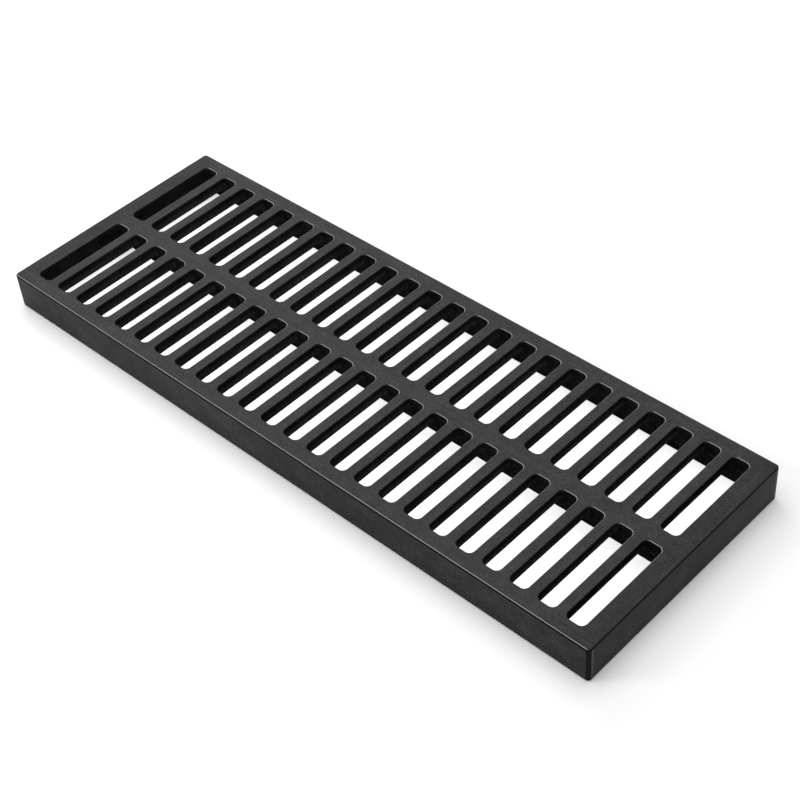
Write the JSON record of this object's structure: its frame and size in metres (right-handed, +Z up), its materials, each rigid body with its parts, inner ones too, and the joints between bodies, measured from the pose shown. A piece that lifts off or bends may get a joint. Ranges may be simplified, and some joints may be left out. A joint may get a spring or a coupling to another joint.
{
  "type": "trench drain grate",
  "caption": "Flat rectangular drain grate, cast in one piece with two rows of cross slots, a centre rib between them and a deeper rail all round.",
  "frame": {"origin": "centre of the outline, on the plane of the lower rail edges that the grate rests on", "axes": "+X along the channel, +Y across it, +Z up out of the tread face"},
  "size_m": [0.498, 0.176, 0.027],
  "materials": {
    "coated_casting": "black coated, satin, very fine grain"
  },
  "bodies": {
    "root": {"grate": "coated_casting"}
  },
  "joints": []
}
